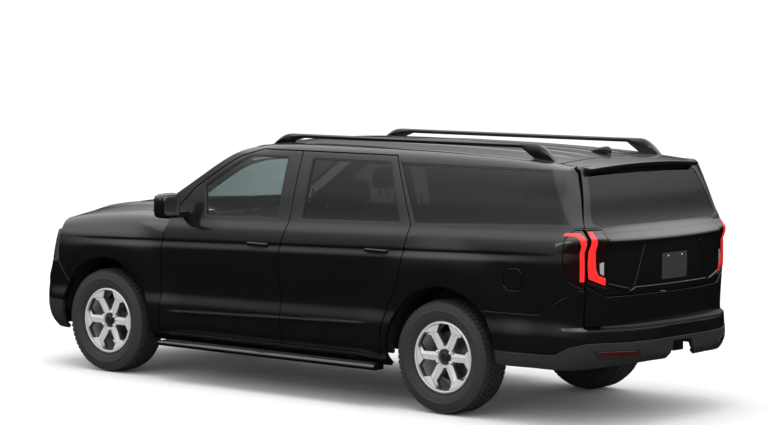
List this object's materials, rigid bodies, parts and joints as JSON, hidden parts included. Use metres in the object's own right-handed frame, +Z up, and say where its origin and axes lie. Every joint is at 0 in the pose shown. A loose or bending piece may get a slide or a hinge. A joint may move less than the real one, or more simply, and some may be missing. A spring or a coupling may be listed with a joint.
{
  "type": "full-size sport utility vehicle",
  "caption": "Long-wheelbase body-on-frame passenger vehicle with side doors, bonnet, liftgate, drop gate, roof rails and alloy wheels.",
  "frame": {"origin": "on the ground, at the middle of the length and of the width", "axes": "+X forward, +Y to the vehicle's left, +Z up"},
  "size_m": [5.636, 2.466, 1.912],
  "materials": {
    "paint": "gloss",
    "glass_clear": "gloss",
    "glass_tint": "gloss",
    "black_trim": "gloss",
    "lamp_red": "gloss",
    "lamp_clear": "gloss",
    "chassis": "matte",
    "alloy": "satin",
    "tyre": "matte",
    "plastic": "matte",
    "leather": "satin",
    "iron": "matte"
  },
  "bodies": {
    "body": {"ladder_frame": "chassis", "floor_pan": "chassis", "front_liners": "plastic", "rear_liners": "plastic", "cowl": "plastic", "front_suspension": "chassis", "body_side_left": "paint", "body_side_right": "paint", "quarter_windows": "glass_tint", "roof": "paint", "windscreen": "glass_clear", "wing_left": "paint", "wing_right": "paint", "front_bumper": "paint", "grille": "black_trim", "head_lamps": "lamp_clear", "rear_bumper": "paint", "tail_lamps": "lamp_red", "roof_rails": "black_trim", "running_boards": "black_trim", "engine": "iron", "rear_axle": "chassis", "front_seats": "leather", "second_row_seats": "leather", "third_row_seat": "leather", "dashboard": "plastic", "hitch_receiver": "chassis"},
    "bonnet": {"bonnet": "paint"},
    "liftgate": {"liftgate": "paint", "rear_glass": "glass_tint", "gate_lamps": "lamp_red"},
    "drop_gate": {"drop_gate": "paint"},
    "fuel_door": {"fuel_door": "paint"},
    "knuckle_left": {"knuckle_left": "iron"},
    "knuckle_right": {"knuckle_right": "iron"},
    "front_door_left": {"front_door_left": "paint", "front_window_left": "glass_clear", "mirror_left": "black_trim"},
    "rear_door_left": {"rear_door_left": "paint", "rear_window_left": "glass_tint"},
    "wheel_front_left": {"wheel_front_left": "alloy", "tyre_front_left": "tyre"},
    "wheel_rear_left": {"wheel_rear_left": "alloy", "tyre_rear_left": "tyre"},
    "front_door_right": {"front_door_right": "paint", "front_window_right": "glass_clear", "mirror_right": "black_trim"},
    "rear_door_right": {"rear_door_right": "paint", "rear_window_right": "glass_tint"},
    "wheel_front_right": {"wheel_front_right": "alloy", "tyre_front_right": "tyre"},
    "wheel_rear_right": {"wheel_rear_right": "alloy", "tyre_rear_right": "tyre"}
  },
  "joints": [
    {"name": "bonnet_hinge", "type": "hinge", "parent": "body", "child": "bonnet", "pos_m": [1.5, 0, 1.3], "axis": [0, -1, 0], "range_deg": [0, 50]},
    {"name": "liftgate_hinge", "type": "hinge", "parent": "body", "child": "liftgate", "pos_m": [-2.215, 0, 1.805], "axis": [0, 1, 0], "range_deg": [0, 85]},
    {"name": "drop_gate_hinge", "type": "hinge", "parent": "body", "child": "drop_gate", "pos_m": [-2.712, 0, 0.712], "axis": [0, -1, 0], "range_deg": [0, 90]},
    {"name": "fuel_door_hinge", "type": "hinge", "parent": "body", "child": "fuel_door", "pos_m": [-2, 0.987, 1], "axis": [0, 0, -1], "range_deg": [0, 100]},
    {"name": "front_door_left_hinge", "type": "hinge", "parent": "body", "child": "front_door_left", "pos_m": [1.255, 0.98683, 0.8], "axis": [0, 0, -1], "range_deg": [0, 65]},
    {"name": "rear_door_left_hinge", "type": "hinge", "parent": "body", "child": "rear_door_left", "pos_m": [0.03, 0.97452, 0.8], "axis": [0, 0, -1], "range_deg": [0, 65]},
    {"name": "steering_left", "type": "hinge", "parent": "body", "child": "knuckle_left", "pos_m": [1.893, 0.8, 0.405], "axis": [0, 0, 1], "range_deg": [-32, 32]},
    {"name": "wheel_front_left_spin", "type": "hinge", "parent": "knuckle_left", "child": "wheel_front_left", "pos_m": [1.893, 0.856, 0.405], "axis": [0, 1, 0], "continuous": true},
    {"name": "wheel_rear_left_spin", "type": "hinge", "parent": "body", "child": "wheel_rear_left", "pos_m": [-1.45, 0.856, 0.405], "axis": [0, 1, 0], "continuous": true},
    {"name": "front_door_right_hinge", "type": "hinge", "parent": "body", "child": "front_door_right", "pos_m": [1.255, -0.98683, 0.8], "axis": [0, 0, 1], "range_deg": [0, 65]},
    {"name": "rear_door_right_hinge", "type": "hinge", "parent": "body", "child": "rear_door_right", "pos_m": [0.03, -0.97452, 0.8], "axis": [0, 0, 1], "range_deg": [0, 65]},
    {"name": "steering_right", "type": "hinge", "parent": "body", "child": "knuckle_right", "pos_m": [1.893, -0.8, 0.405], "axis": [0, 0, 1], "range_deg": [-32, 32]},
    {"name": "wheel_front_right_spin", "type": "hinge", "parent": "knuckle_right", "child": "wheel_front_right", "pos_m": [1.893, -0.856, 0.405], "axis": [0, 1, 0], "continuous": true},
    {"name": "wheel_rear_right_spin", "type": "hinge", "parent": "body", "child": "wheel_rear_right", "pos_m": [-1.45, -0.856, 0.405], "axis": [0, 1, 0], "continuous": true}
  ],
  "couplings": [
    {"joint": "steering_right", "follows": "steering_left", "ratio": 1}
  ]
}
